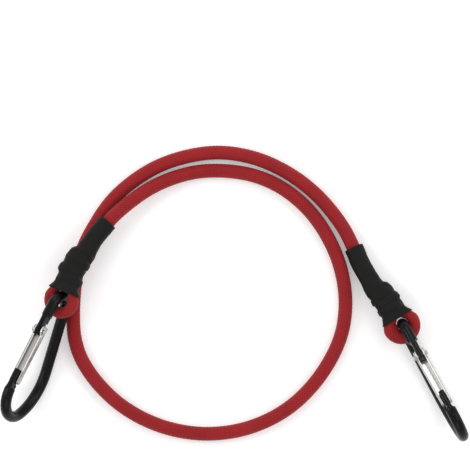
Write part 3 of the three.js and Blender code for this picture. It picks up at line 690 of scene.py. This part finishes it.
def sleeve_rise(sizes, is_left, distance, turns):
    """How far the sleeve stands off over the crimp rings, at each place and turn: up to 1 on a
    ring, eased to 0 beside it. Each ridge leans its own way, as a sine round the sleeve, and
    is high on one side and low on the other, as a cosine, by turns."""
    phase = 0.4 if is_left else 2.3
    rise = np.zeros((len(distance), len(turns)))
    first = sizes.flare_length + sizes.crimp_from_flare
    last = tail_length(sizes, is_left) - sizes.crimp_from_tail
    for ring, place in enumerate(np.linspace(first, last, 3)):
        lean = 0.55 * MILLIMETRE * np.sin(turns + 2.1 * ring + phase)
        from_ring = np.abs(distance[:, None] - place - lean) - sizes.crimp_plateau
        swell = 0.6 + 0.4 * np.cos(turns - math.pi * ring)
        rise = np.maximum(rise, swell * fade(from_ring, 0, sizes.crimp_skirt))
    return rise


def sleeve_bore(sizes, is_left, distance):
    """Middle, half width and half height of the bore round both legs, closing in past the cut
    end of the tail, no further than round the single cord. The two sides meet smoothly, in the
    lower branch of a hyperbola."""
    half = half_sizes(sizes, is_left, distance)
    shift = leg_shift(sizes, is_left, distance)
    tail = tail_length(sizes, is_left)
    high = shift + half[:, 0] + sizes.sleeve_room
    single = shift - half[:, 0] - sizes.sleeve_room
    bulge = fade(distance, tail + sizes.strand_gap, tail + sizes.tail_bulge)
    low = single + (-high - single) * bulge
    plain = -sizes.diameter / 2 - sizes.sleeve_room
    low = (low + plain - np.sqrt((low - plain) ** 2 + sizes.bulge_blend**2)) / 2
    doubled = doubling(sizes, is_left, distance)
    room = sizes.sleeve_room + (sizes.sleeve_top_room - sizes.sleeve_room) * doubled
    return (low + high) / 2, (high - low) / 2, half[:, 1] + room


def make_sleeve(sizes, name, is_left):
    """A shrunk sleeve: stadium rows along the line, out over the outside, round a rolled lip,
    and back through the bore. Shallow waves run round it beside the rings, where the tube has
    puckered. The left sleeve's underside reaches further towards the eye than its top."""
    mouth_length, slow_wave, fast_wave = 0.004, 700, 1150
    plain = np.linspace(0, 1, 190)
    lip = np.linspace(0, math.pi, 9)[1:-1]
    lip_reach = sizes.sleeve_wall / 2
    start, end = sizes.sleeve_start + lip_reach, sizes.sleeve_end - lip_reach
    distance = np.concatenate([
        start + (end - start) * plain, end + lip_reach * np.sin(lip),
        end - (end - start) * plain, start - lip_reach * np.sin(lip)])
    wall = np.concatenate([
        np.ones(len(plain)), (1 + np.cos(lip)) / 2, np.zeros(len(plain)), (1 - np.cos(lip)) / 2])
    middle, wide, tall = sleeve_bore(sizes, is_left, distance)
    turns = 2 * math.pi * (np.arange(72) + 0.5) / 72
    outside = wall[:, None]
    rise = sleeve_rise(sizes, is_left, distance, turns)
    bore_rise = sizes.crimp_bore_rise * rise.max(axis=1, keepdims=True)
    grow = outside * (sizes.sleeve_wall + sizes.crimp_rise * rise) + (1 - outside) * bore_rise
    phase = 0.0 if is_left else 1.9
    ripple = np.sin(3 * turns[None, :] + distance[:, None] * slow_wave + phase)
    ripple = ripple + 0.7 * np.sin(5 * turns[None, :] - distance[:, None] * fast_wave + 2 * phase)
    tail = tail_length(sizes, is_left)
    calm = fade(distance, tail, tail + sizes.merge_length)[:, None]
    from_mouth = np.minimum(distance - sizes.sleeve_start, sizes.sleeve_end - distance)
    edge = fade(from_mouth, 0, mouth_length)[:, None]
    grow = grow + 0.13 * MILLIMETRE * (ripple - 0.6) * (0.25 + 0.75 * calm) * outside * (1 - edge)
    point, direction, side, top = end_frame(sizes, is_left, distance)
    wide, tall = wide[:, None] + grow, tall[:, None] + grow
    round_part = np.minimum(wide, tall)
    straight = np.sign(np.cos(turns)) * (wide - round_part)
    across = middle[:, None] + straight + round_part * np.cos(turns)
    upwards = tall * np.sin(turns)
    rows = point[:, None] + side[:, None] * across[..., None] + top[:, None] * upwards[..., None]
    to_eye = -direction if is_left else direction
    near_mouth = fade(distance, sizes.sleeve_start, sizes.sleeve_start + mouth_length)[:, None]
    droop = sizes.left_droop * fade(np.sin(turns), -1, 0) if is_left else sizes.right_reach
    reach = near_mouth * (droop + 0.1 * MILLIMETRE * np.sin(4 * turns + phase))
    rows = rows + to_eye[:, None] * reach[..., None]
    index = np.arange(rows.shape[0] * rows.shape[1]).reshape(rows.shape[:2])
    quads = ring_quads(index, np.roll(index, -1, 0))
    return make_piece(name, rows.reshape(-1, 3), quads)


class BUNGEE_OT_shrunk_sleeves(bpy.types.Operator):
    """Builds the two shrunk sleeves over the doubled cord"""

    bl_idname = "bungee.shrunk_sleeves"
    bl_label = "Shrunk sleeves"

    def execute(self, context):
        sizes = context.scene.bungee_cord
        black = sleeve_finish(sizes)
        for end in ("left", "right"):
            piece = make_sleeve(sizes, f"{end}_shrunk_sleeve", end == "left")
            settle(piece, f"{end}_sleeve", black)
        return {"FINISHED"}


class BUNGEE_OT_crimp_rings(bpy.types.Operator):
    """Finishes the crimp rings under the sleeves"""

    bl_idname = "bungee.crimp_rings"
    bl_label = "Crimp rings"

    def execute(self, context):
        steel = bright_steel_finish("crimped_steel", (0.33, 0.34, 0.35), 0.4)
        for name, node in frame["nodes"].items():
            if "_crimp_ring_" in name:
                dress_node(node, steel)
        return {"FINISHED"}


def dress_node(node, material):
    node.data.materials.clear()
    node.data.materials.append(material)


# Snap hooks

def hook_axes(hook, is_left):
    """Origin and axes of a hook: X from its eye end to its basket, Y from its spine to its
    gate, and Z square to both."""
    if is_left:
        eye, heading, sign = ROUTE[0], (-0.285, -0.9585, 0.0), 1
        lean, dip, shift, back = hook.left_lean, hook.left_dip, hook.left_shift, hook.left_back
    else:
        eye, heading, sign = ROUTE[-1], (0.466, -0.885, 0.0), -1
        lean, dip, shift, back = hook.right_lean, 0.0, hook.right_shift, hook.right_back
    level = unit(np.array(heading))
    sideways = np.cross(level, UP) * sign
    along = level * math.cos(dip) - UP * math.sin(dip)
    rise = np.cross(sideways, along) * sign
    outward = rise * math.cos(lean) + sideways * math.sin(lean)
    origin = eye + sideways * shift - along * back
    return origin, np.stack([along, outward, np.cross(along, outward)])


def basket_middle(hook):
    """Where the middle of the basket's bend lies, along and across the hook."""
    along = hook.hook_length - hook.rod_diameter - hook.basket_radius
    across = hook.hook_width - hook.rod_diameter - hook.eye_end_radius - hook.basket_radius
    return along, across


def arm_place(hook):
    """The rivet's place in the hook's frame, the gate arm's turn about Z, and the reach from
    the rivet to where the arm meets the basket's bend."""
    basket_along, basket_across = basket_middle(hook)
    apart = basket_along - hook.eye_end_radius
    distance = math.hypot(apart, basket_across)
    growth = hook.basket_radius - hook.eye_end_radius
    turn = math.atan2(basket_across, apart) + math.asin(growth / distance)
    start = np.array((hook.eye_end_radius * (1 - math.sin(turn)), hook.eye_end_radius * math.cos(turn), 0))
    direction = np.array((math.cos(turn), math.sin(turn), 0))
    from_start = (hook.hinge_along - start[0]) / math.cos(turn)
    reach = math.sqrt(distance**2 - growth**2) - from_start
    return start + direction * from_start, turn, reach


def arc(centre, radius, start, end, steps):
    """Middles and outward directions on an arc, from one angle to another."""
    turns = np.linspace(start, end, steps)[:, None]
    outward = np.concatenate([np.cos(turns), np.sin(turns), np.zeros_like(turns)], 1)
    return np.array(centre) + outward * radius, outward


def rod_line(hook):
    """The rod's middles and outward directions, from the hinge tongue's end round the eye end,
    the spine and the basket to the nose tongue's end, with each station's place on the arm
    from the rivet: infinite away from the arm."""
    rivet, turn, reach = arm_place(hook)
    basket_along, basket_across = basket_middle(hook)
    drop = basket_across + hook.eye_end_radius - hook.spine_radius
    bend_reach = math.sqrt((hook.spine_radius - hook.basket_radius) ** 2 - drop**2)
    bend_turn = math.atan2(drop, bend_reach)
    quarter = math.pi / 2
    direction = np.array((math.cos(turn), math.sin(turn), 0))
    outward = np.array((-math.sin(turn), math.cos(turn), 0))

    def on_arm(places):
        return rivet + direction * places[:, None], np.repeat(outward[None], len(places), 0)

    start = -(hook.hinge_along - hook.eye_end_radius * (1 - math.sin(turn))) / math.cos(turn)
    hinge = hinge_places(hook, start)
    nose = nose_places(hook, reach)
    eye_end = arc((hook.eye_end_radius, 0, 0), hook.eye_end_radius, quarter + turn, 3 * quarter, 56)
    spine_start = eye_end[0][-1]
    spine_end_along = basket_along - bend_reach
    steps = np.linspace(0, 1, 20)[1:-1, None]
    spine = (
        spine_start + (np.array((spine_end_along, -hook.eye_end_radius, 0)) - spine_start) * steps,
        np.repeat([[0.0, -1.0, 0.0]], len(steps), 0))
    bend_centre = (spine_end_along, hook.spine_radius - hook.eye_end_radius, 0)
    bend = arc(bend_centre, hook.spine_radius, -quarter, bend_turn, 40)
    basket = arc((basket_along, basket_across, 0), hook.basket_radius, bend_turn, quarter + turn, 60)
    parts = [on_arm(hinge), eye_end, spine, bend, tuple(part[1:-1] for part in basket), on_arm(nose)]
    middle, outward = (np.concatenate([part[side] for part in parts]) for side in (0, 1))
    away = np.full(sum(len(part[0]) for part in parts[1:-1]), np.inf)
    return middle, outward, np.concatenate([hinge, away, nose])


def hinge_places(hook, start):
    """Places on the arm from the hinge tongue's end back to the eye end's bend, closer together
    in the fillet, and doubled at each step of the tongue's back."""
    step, end_band, before_fillet = SQUARE_STEP, 0.0012, -0.0068
    return np.concatenate([
        [hook.hinge_tongue_end, hook.hinge_tongue_end - end_band],
        [-hook.pocket_end + step, -hook.pocket_end - step],
        [-hook.back_start], [-hook.pocket_start + step, -hook.pocket_start - step],
        [before_fillet], -hook.hinge_shoulder + hook.hinge_fillet * np.linspace(1, 0, 12),
        np.linspace(-hook.hinge_shoulder, start, 6)[1:-1]])


def nose_places(hook, reach):
    """Places on the arm from the basket's bend down to the nose tongue's end."""
    straight = np.linspace(reach, hook.back_end + SQUARE_STEP, 4)
    tongue = np.linspace(hook.back_end - SQUARE_STEP, hook.nose_tongue_end, 8)
    return np.concatenate([straight, tongue])


def quadratic_fillet(share):
    """Height left of a fillet's curve at shares of its length: one minus the square root, as a
    quadratic curve with its corner half way gives."""
    return (1 - np.sqrt(np.clip(share, 0, 1))) ** 2


def cheek_half(hook, places):
    """Half the rod's thickness at places on the arm: the tongue's flat, the fillet, the rod."""
    rod, flat = hook.rod_diameter / 2, hook.tongue_thickness / 2
    between_tongues = 0.012
    hinge = (places + hook.hinge_shoulder) / hook.hinge_fillet
    nose = (hook.nose_shoulder - places) / hook.nose_fillet
    share = np.where(places < between_tongues, hinge, nose)
    share = np.where(np.isfinite(places), share, -1)
    return np.where(share <= 0, rod, flat + (rod - flat) * quadratic_fillet(share))


def back_limit(hook, places):
    """How far the tongue reaches inwards at places on the arm: the whole rod, or its cut back,
    or the roof of the spring's pocket."""
    limit = np.full(len(places), -hook.rod_diameter)
    cut_back = (places > -hook.back_start) & (places < hook.back_end)
    limit[cut_back] = -hook.tongue_back
    limit[(places > -hook.pocket_start) & (places < -hook.pocket_end)] = 0.0
    return limit


def to_world(points, origin, axes):
    return origin + points @ axes


def make_hook_frame(hook, name, is_left):
    """The bent rod: circles along its line, held between two flats at the tongues, and cut
    back where the gate and its spring need room."""
    middle, outward, places = rod_line(hook)
    turns = 2 * math.pi * (np.arange(40) + 0.5) / 40
    radius = hook.rod_diameter / 2
    cheek = cheek_half(hook, places)[:, None]
    across = np.maximum(radius * np.cos(turns)[None], back_limit(hook, places)[:, None])
    through = np.clip(radius * np.sin(turns)[None], -cheek, cheek)
    rows = middle[:, None] + outward[:, None] * across[..., None] + UP * through[..., None]
    origin, axes = hook_axes(hook, is_left)
    return make_solid_sweep(name, to_world(rows, origin, axes), sharp=math.radians(35))


def arm_axes(hook, is_left):
    """Origin and axes of the gate arm: X from the rivet to the nose, Y outwards."""
    origin, axes = hook_axes(hook, is_left)
    rivet, turn, _ = arm_place(hook)
    along = np.array((math.cos(turn), math.sin(turn), 0))
    outward = np.array((-math.sin(turn), math.cos(turn), 0))
    return to_world(rivet, origin, axes), np.stack([along @ axes, outward @ axes, axes[2]])


def gate_lip(hook, places):
    """How far out the gate's walls reach at places from the rivet: an ear round the rivet, whose
    two curves are quadratic, a straight lip, and a rounded corner at the tip."""
    back = np.sqrt(np.clip(1 + places / hook.gate_top, 0, 1))
    rear = hook.ear_height * (1 - (1 - back) ** 2) + hook.gate_lip * (1 - back) ** 2
    slope_end = hook.ear_reach + 0.0006
    front = hook.gate_lip + (hook.ear_height - hook.gate_lip) * fade(places, 0, slope_end)
    tip = (places - hook.gate_tip + hook.tip_round) / hook.tip_round
    drop = hook.tip_round * (1 - np.sqrt(1 - np.clip(tip, 0, 1) ** 2))
    return np.where(places < 0, rear, front) - drop


def gate_section(hook, lip, floor):
    """Across and out of points round the folded sheet, for each place's lip and floor: down one
    outer wall, round the two folds, up the other, over its lip, and back inside, where the
    floor is dished a little by the press."""
    half, wall, fold = hook.gate_width / 2, hook.gate_wall, hook.fold_radius
    corner = np.linspace(0, math.pi / 2, 7)
    flat = np.linspace(-1, 1, 10)[1:-1]

    def channel(wide, bottom, radius, dish):
        """A channel: down one wall, round its folds and floor, and up the other wall."""
        level = np.linspace(1, 0, 5)[:-1][None, :]
        wall_out = bottom + radius + (lip - bottom - radius) * level
        fold_out = bottom + radius * (1 - np.sin(corner))[None, :]
        fold_across = wide - radius * (1 - np.cos(corner))
        across = np.concatenate([np.full(level.shape[1], wide), fold_across])
        out = np.concatenate([wall_out, np.broadcast_to(fold_out, (len(lip), len(corner)))], 1)
        middle = flat * (wide - radius)
        across = np.concatenate([across, -middle, -across[::-1]])
        floor_out = bottom - dish * (1 - flat**2)[None, :]
        out = np.concatenate([out, floor_out, out[:, ::-1]], 1)
        return np.broadcast_to(across, (len(lip), len(across))), out

    outer_across, outer_out = channel(half, floor, fold, 0)
    inner_across, inner_out = channel(half - wall, floor + wall, hook.inner_fold_radius, hook.floor_dish)
    return (
        np.concatenate([outer_across, inner_across[:, ::-1]], 1),
        np.concatenate([outer_out, inner_out[:, ::-1]], 1))


def make_gate(hook, name, is_left):
    """The gate: a sheet folded to a channel, as sections from its hinge end to its tip."""
    rear = -hook.gate_top * np.cos(np.linspace(0, math.pi / 2, 12))[:-1]
    ear = np.linspace(0, hook.ear_reach + 0.0012, 14)
    body = np.linspace(ear[-1], hook.gate_tip - hook.tip_round, 16)[1:-1]
    tip = hook.gate_tip - hook.tip_round * (1 - np.sin(np.linspace(0, math.pi / 2, 9)))
    places = np.concatenate([rear, ear, body, tip])
    lip = gate_lip(hook, places)[:, None]
    curl = np.clip((places - hook.gate_tip + hook.tip_round) / hook.tip_round, 0, 1)
    floor = (-hook.gate_back + 0.7 * hook.tip_round * (1 - np.sqrt(1 - curl**2)))[:, None]
    across, out = gate_section(hook, lip, floor)
    along = np.broadcast_to(places[:, None], across.shape)
    origin, axes = arm_axes(hook, is_left)
    rows = to_world(np.stack([along, out, across], -1), origin, axes)
    return make_solid_sweep(name, rows, places / hook.gate_width, sharp=math.radians(40))


def soften_edges(piece, width, segments=3, limit=40):
    """Rounds every edge sharper than the limit."""
    bevel = piece.modifiers.new("softened_edges", "BEVEL")
    bevel.width = width
    bevel.segments = segments
    bevel.limit_method = "ANGLE"
    bevel.angle_limit = math.radians(limit)
    bevel.use_clamp_overlap = True
    bevel.harden_normals = True


def make_rivet(hook, name, is_left):
    """The rivet: a shank and two domed heads, each with a shallow dimple, turned about the
    hinge's axis."""
    under = hook.gate_width / 2 + hook.rivet_room
    shank, head, dome = hook.rivet_shank / 2, hook.rivet_head / 2, hook.rivet_dome
    turn = np.linspace(0, math.pi / 2, 10)
    crown_round, crown_up = head * (0.35 + 0.65 * np.cos(turn)), under + dome * (0.25 + 0.75 * np.sin(turn))
    crown = np.stack([crown_round, crown_up], -1)
    dimple = np.array([
        (head * 0.3, under + dome * 0.96), (head * 0.22, under + dome * 0.82),
        (head * 0.1, under + dome * 0.76), (head * 0.02, under + dome * 0.75)])
    stem = [(shank, 0), (shank, under), (head * 0.97, under), (head, under + dome * 0.08)]
    upper = np.concatenate([stem, crown, dimple])
    profile = np.concatenate([upper[::-1] * (1, -1), upper[1:]])
    turns = np.linspace(0, 2 * math.pi, 48, endpoint=False)
    ring = np.stack([np.cos(turns), np.sin(turns)], -1)
    across = profile[:, None, :1] * ring[None]
    height = np.broadcast_to(profile[:, None, 1:], (*across.shape[:2], 1))
    local = np.concatenate([across, height], -1) + np.array((0, hook.rivet_height, 0))
    origin, axes = arm_axes(hook, is_left)
    return make_solid_sweep(name, to_world(local, origin, axes), sharp=math.radians(50))


class BUNGEE_OT_hook_frames(bpy.types.Operator):
    """Builds the two bent rods of the snap hooks"""

    bl_idname = "bungee.hook_frames"
    bl_label = "Hook frames"

    def execute(self, context):
        hook = context.scene.bungee_hook
        enamel = hook_finish(hook)
        for end in ("left", "right"):
            piece = make_hook_frame(hook, f"{end}_hook_rod", end == "left")
            soften_edges(piece, 0.25 * MILLIMETRE)
            settle(piece, f"{end}_carabiner_frame", enamel)
        return {"FINISHED"}


class BUNGEE_OT_gates(bpy.types.Operator):
    """Builds the two folded gates"""

    bl_idname = "bungee.gates"
    bl_label = "Gates"

    def execute(self, context):
        hook = context.scene.bungee_hook
        aluminium = gate_finish(hook)
        for end in ("left", "right"):
            piece = make_gate(hook, f"{end}_folded_gate", end == "left")
            soften_edges(piece, 0.15 * MILLIMETRE)
            settle(piece, f"{end}_gate", aluminium)
        return {"FINISHED"}


class BUNGEE_OT_hinge_rivets(bpy.types.Operator):
    """Builds the two hinge rivets"""

    bl_idname = "bungee.hinge_rivets"
    bl_label = "Hinge rivets"

    def execute(self, context):
        hook = context.scene.bungee_hook
        steel = bright_steel_finish("plated_rivet_steel", tuple(hook.rivet_colour), 0.25)
        for end in ("left", "right"):
            piece = make_rivet(hook, f"{end}_domed_rivet", end == "left")
            settle(piece, f"{end}_hinge_rivet", steel)
        return {"FINISHED"}


class BUNGEE_OT_gate_springs(bpy.types.Operator):
    """Finishes the leaf springs in the hinges"""

    bl_idname = "bungee.gate_springs"
    bl_label = "Gate springs"

    def execute(self, context):
        steel = bright_steel_finish("spring_steel", (0.2, 0.21, 0.22), 0.3)
        for end in ("left", "right"):
            dress_node(frame["nodes"][f"{end}_gate_spring"], steel)
        return {"FINISHED"}


# Stage

def floor_finish():
    """Plain white board with a barely visible tooth, lit a little from below."""
    finish = Finish("white_board", (0.88, 0.88, 0.88), 0.7)
    tooth = finish.noise(finish.place(), 900.0, 3.0, 0.5)
    finish.use("Base Color", finish.tint(tooth, (0.9, 0.9, 0.9), (0.93, 0.93, 0.93)))
    finish.shader.inputs["Emission Color"].default_value = (1, 1, 1, 1)
    finish.shader.inputs["Emission Strength"].default_value = 0.2
    finish.shader.inputs["Specular IOR Level"].default_value = 0.2
    return finish.material


def add_softbox(name, place, target, size, watts):
    light = bpy.data.lights.new(name, "AREA")
    light.shape = "RECTANGLE"
    light.size, light.size_y = size
    light.energy = watts
    lamp = bpy.data.objects.new(name, light)
    bpy.context.scene.collection.objects.link(lamp)
    lamp.location = place
    direction = Vector(target) - lamp.location
    lamp.rotation_euler = direction.to_track_quat("-Z", "Y").to_euler()


class BUNGEE_OT_stage(bpy.types.Operator):
    """Sets the white floor, the soft lights and the camera straight above"""

    bl_idname = "bungee.stage"
    bl_label = "Stage"

    def execute(self, context):
        scene = context.scene
        reach = 3.0
        corners = reach * np.array([(-1, -1, 0), (1, -1, 0), (1, 1, 0), (-1, 1, 0)])
        mesh = bpy.data.meshes.new("floor")
        mesh.from_pydata((corners - UP * 0.05 * MILLIMETRE).tolist(), [], [(0, 1, 2, 3)])
        floor = bpy.data.objects.new("floor", mesh)
        floor.data.materials.append(floor_finish())
        scene.collection.objects.link(floor)
        world = bpy.data.worlds.new("studio")
        world.use_nodes = True
        world.node_tree.nodes["Background"].inputs["Color"].default_value = (1, 1, 1, 1)
        world.node_tree.nodes["Background"].inputs["Strength"].default_value = 0.7
        scene.world = world
        middle = (*VIEW_MIDDLE, 0)
        for name, across, up_view, height, side, watts in (
                ("left_softbox", -1.5, 0.35, 1.3, 0.9, 9), ("right_softbox", 1.5, 0.35, 1.3, 0.9, 7),
                ("far_softbox", 0.1, 1.7, 1.3, 0.9, 9), ("near_softbox", 0.1, -1.6, 1.3, 0.9, 5),
                ("top_softbox", 0.12, 0.2, 2.2, 0.25, 1.0)):
            add_softbox(name, (across, up_view, height), middle, (side, side), watts)
        camera = bpy.data.cameras.new("overhead_camera")
        camera.sensor_width = 36
        camera.lens = camera.sensor_width * VIEW_DISTANCE / VIEW_WIDTH
        camera.clip_end = 10 * VIEW_DISTANCE
        holder = bpy.data.objects.new("overhead_camera", camera)
        holder.location = (*VIEW_MIDDLE, VIEW_DISTANCE)
        scene.collection.objects.link(holder)
        scene.camera = holder
        scene.view_settings.view_transform = "Standard"
        return {"FINISHED"}


class BUNGEE_PT_panel(bpy.types.Panel):
    """Sizes, colours and the steps that build the bungee cord"""

    bl_idname = "BUNGEE_PT_panel"
    bl_label = "Bungee cord"
    bl_space_type = "VIEW_3D"
    bl_region_type = "UI"
    bl_category = "Bungee cord"

    def draw(self, context):
        for step in STEPS:
            self.layout.operator(step.bl_idname)
        for sizes in (context.scene.bungee_cord, context.scene.bungee_hook):
            box = self.layout.box()
            for name in sizes.__annotations__:
                box.prop(sizes, name)


STEPS = (
    BUNGEE_OT_stage,
    BUNGEE_OT_elastic_cord,
    BUNGEE_OT_shrunk_sleeves,
    BUNGEE_OT_crimp_rings,
    BUNGEE_OT_hook_frames,
    BUNGEE_OT_gates,
    BUNGEE_OT_hinge_rivets,
    BUNGEE_OT_gate_springs,
)
CLASSES = (BungeeCordSizes, SnapHookSizes, *STEPS, BUNGEE_PT_panel)


def register():
    for each in CLASSES:
        bpy.utils.register_class(each)
    bpy.types.Scene.bungee_cord = bpy.props.PointerProperty(type=BungeeCordSizes)
    bpy.types.Scene.bungee_hook = bpy.props.PointerProperty(type=SnapHookSizes)


def unregister():
    del bpy.types.Scene.bungee_hook
    del bpy.types.Scene.bungee_cord
    for each in reversed(CLASSES):
        bpy.utils.unregister_class(each)


def main():
    register()
    bpy.ops.bungee.stage()
    bpy.ops.bungee.elastic_cord()
    bpy.ops.bungee.shrunk_sleeves()
    bpy.ops.bungee.crimp_rings()
    bpy.ops.bungee.hook_frames()
    bpy.ops.bungee.gates()
    bpy.ops.bungee.hinge_rivets()
    bpy.ops.bungee.gate_springs()
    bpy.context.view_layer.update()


if __name__ == "__main__":
    main()
